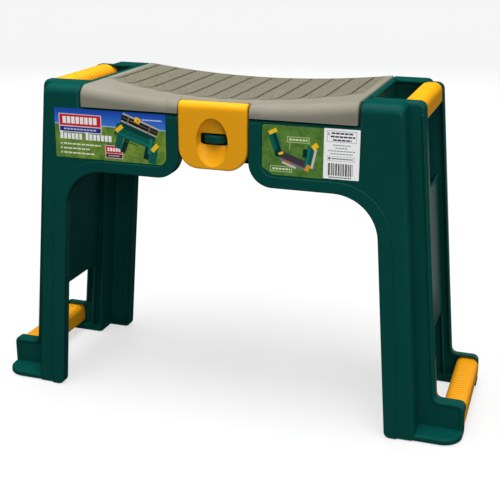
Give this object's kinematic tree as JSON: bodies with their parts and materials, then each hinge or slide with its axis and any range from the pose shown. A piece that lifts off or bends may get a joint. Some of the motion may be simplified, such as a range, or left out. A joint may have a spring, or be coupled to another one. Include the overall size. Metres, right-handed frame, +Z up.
{
  "type": "garden kneeler seat",
  "caption": "Plastic garden kneeler and seat with splayed moulded legs, a dished lid over a tool bin held by a hinged latch flap, ribbed hand grips and a foam kneeling pad below.",
  "frame": {"origin": "on the floor, below the centre of the overall bounding box", "axes": "+Z up, the latch side faces -Y, the two ends are at -X and +X"},
  "size_m": [0.6432, 0.2356, 0.4204],
  "materials": {
    "green_plastic": "moulded green plastic, satin to gloss",
    "bin_plastic": "moulded dark green plastic",
    "lid_plastic": "moulded grey-beige plastic with a fine grain",
    "yellow_plastic": "moulded yellow plastic, satin",
    "foam": "closed-cell foam, matt",
    "steel": "zinc-plated steel",
    "label_scene": "printed glossy label",
    "label_picture": "printed glossy label",
    "label_plain": "white printed label"
  },
  "bodies": {
    "root": {"end_frame_left": "green_plastic", "end_frame_right": "green_plastic", "tool_bin": "bin_plastic", "kneeling_pad": "foam", "catch_tongue": "green_plastic", "hinge_pin_left": "steel", "hinge_pin_right": "steel", "top_grip_left": "yellow_plastic", "top_grip_right": "yellow_plastic", "foot_grip_left": "yellow_plastic", "foot_grip_right": "yellow_plastic", "end_screw_left_front": "steel", "end_screw_left_rear": "steel", "end_screw_right_front": "steel", "end_screw_right_rear": "steel", "fascia_screw_left_front": "steel", "fascia_screw_left_rear": "steel", "fascia_screw_right_front": "steel", "fascia_screw_right_rear": "steel", "label_left": "label_scene", "label_picture": "label_picture", "label_plain": "label_plain"},
    "lid": {"lid": "lid_plastic", "latch_pin": "steel"},
    "latch": {"latch_flap": "yellow_plastic"}
  },
  "joints": [
    {"name": "lid_hinge", "type": "hinge", "parent": "root", "child": "lid", "pos_m": [0, 0.1144, 0.3925], "axis": [-1, 0, 0], "range_deg": [0, 105]},
    {"name": "latch_hinge", "type": "hinge", "parent": "lid", "child": "latch", "pos_m": [0, -0.1095, 0.402], "axis": [-1, 0, 0], "range_deg": [0, 95]}
  ]
}
